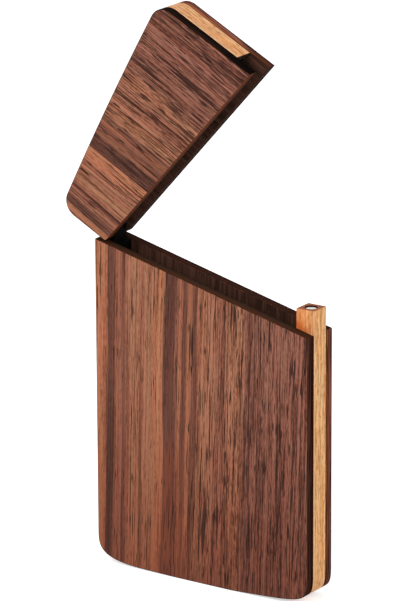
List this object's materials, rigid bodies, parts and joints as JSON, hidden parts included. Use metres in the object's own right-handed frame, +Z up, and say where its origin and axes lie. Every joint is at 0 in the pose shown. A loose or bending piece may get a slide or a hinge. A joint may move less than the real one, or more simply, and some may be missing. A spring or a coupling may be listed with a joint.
{
  "type": "business card case",
  "caption": "Slim wooden business card case with a slanted flip lid on a hidden pin, a flat pocket between two plates and a magnetic latch post.",
  "frame": {"origin": "middle of the foot, the flat zone of the body's underside, half way through the case's thickness", "axes": "+Z up along the sides of the body, +X from the hinge side to the latch side, +Y through the case to its back face; the lid is shown open"},
  "size_m": [0.0728, 0.0112, 0.1482],
  "materials": {
    "body_front_plate": "oiled walnut, satin",
    "body_back_plate": "oiled walnut, satin",
    "body_base_strip": "oiled beech, satin",
    "body_latch_strip": "oiled beech, satin",
    "body_hinge_strip": "oiled beech, satin",
    "hinge_tongue": "ebonised hardwood, matt",
    "hinge_pin": "ground steel",
    "body_magnet": "nickel plated",
    "lid_front_plate": "oiled walnut, satin",
    "lid_back_plate": "oiled walnut, satin",
    "lid_top_strip": "oiled beech, satin",
    "lid_latch_strip": "oiled beech, satin",
    "lid_hinge_strip": "oiled beech, satin",
    "lid_magnet": "nickel plated"
  },
  "bodies": {
    "case_body": {"body_front_plate": "body_front_plate", "body_back_plate": "body_back_plate", "body_base_strip": "body_base_strip", "body_latch_strip": "body_latch_strip", "body_hinge_strip": "body_hinge_strip", "hinge_tongue": "hinge_tongue", "hinge_pin": "hinge_pin", "body_magnet": "body_magnet"},
    "lid": {"lid_front_plate": "lid_front_plate", "lid_back_plate": "lid_back_plate", "lid_top_strip": "lid_top_strip", "lid_latch_strip": "lid_latch_strip", "lid_hinge_strip": "lid_hinge_strip", "lid_magnet": "lid_magnet"}
  },
  "joints": [
    {"name": "lid_hinge", "type": "hinge", "parent": "case_body", "child": "lid", "pos_m": [-0.03, 0, 0.08891], "axis": [0, 1, 0], "range_deg": [-28, 62]}
  ]
}
